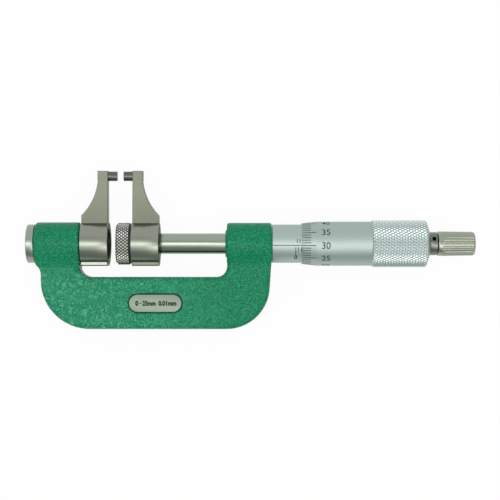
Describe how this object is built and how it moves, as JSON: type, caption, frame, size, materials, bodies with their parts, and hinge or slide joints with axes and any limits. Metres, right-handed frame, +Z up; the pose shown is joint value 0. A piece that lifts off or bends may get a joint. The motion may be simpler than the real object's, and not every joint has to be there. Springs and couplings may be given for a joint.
{
  "type": "jaw micrometer",
  "caption": "Hand micrometer with raised jaws that carry measuring pins, a bowed frame, a graduated sleeve and thimble, and a fluted ratchet knob.",
  "frame": {"origin": "bottom centre of the bounding box, on the surface that the instrument lies on", "axes": "+X along the spindle from the fixed jaw to the ratchet, +Y from the bow towards the jaws' tips, +Z up from the surface it lies on"},
  "size_m": [0.162, 0.0572, 0.0172],
  "materials": {
    "green_paint": "hammered green paint, semi-gloss",
    "plate_steel": "satin, finely brushed along its length",
    "ground_steel": "ground and lightly brushed",
    "polished_steel": "fine ground, nearly polished",
    "dark_steel": "blackened",
    "lapped_carbide": "lapped, dark grey",
    "satin_chrome": "satin chrome plate"
  },
  "bodies": {
    "body": {"frame": "green_paint", "range_plate": "plate_steel", "fixed_jaw": "ground_steel", "fixed_pin": "lapped_carbide", "end_cap": "ground_steel", "clamp_screw": "dark_steel", "jaw_dowel": "ground_steel", "guide_key": "ground_steel", "key_screw": "dark_steel", "barrel": "ground_steel", "adjusting_nut": "ground_steel", "graduated_sleeve": "satin_chrome"},
    "slider": {"spindle": "polished_steel", "moving_jaw": "ground_steel", "moving_pin": "lapped_carbide", "thrust_ball": "polished_steel", "retaining_pin_1": "ground_steel", "retaining_pin_2": "ground_steel"},
    "nut": {"jaw_nut": "ground_steel"},
    "rotor": {"micrometer_screw": "polished_steel", "thimble": "satin_chrome", "ratchet_stem": "ground_steel", "ratchet_screw": "ground_steel"},
    "ratchet": {"ratchet_knob": "ground_steel", "ratchet_ring": "ground_steel", "ratchet_spring": "polished_steel"}
  },
  "joints": [
    {"name": "spindle_slide", "type": "slide", "parent": "body", "child": "slider", "axis": [1, 0, 0], "range_m": [-0.00228, 0.0227]},
    {"name": "thimble_spin", "type": "hinge", "parent": "slider", "child": "rotor", "pos_m": [0.045, 0.00225, 0.00863], "axis": [1, 0, 0], "range_deg": [-1643, 16345]},
    {"name": "ratchet_spin", "type": "hinge", "parent": "rotor", "child": "ratchet", "pos_m": [0.075, 0.00225, 0.00863], "axis": [1, 0, 0], "continuous": true},
    {"name": "jaw_nut_turn", "type": "hinge", "parent": "slider", "child": "nut", "pos_m": [-0.046, 0.00225, 0.00863], "axis": [1, 0, 0], "range_deg": [-90, 0]}
  ],
  "couplings": [
    {"joint": "thimble_spin", "follows": "spindle_slide", "rad_per_m": 12566}
  ]
}
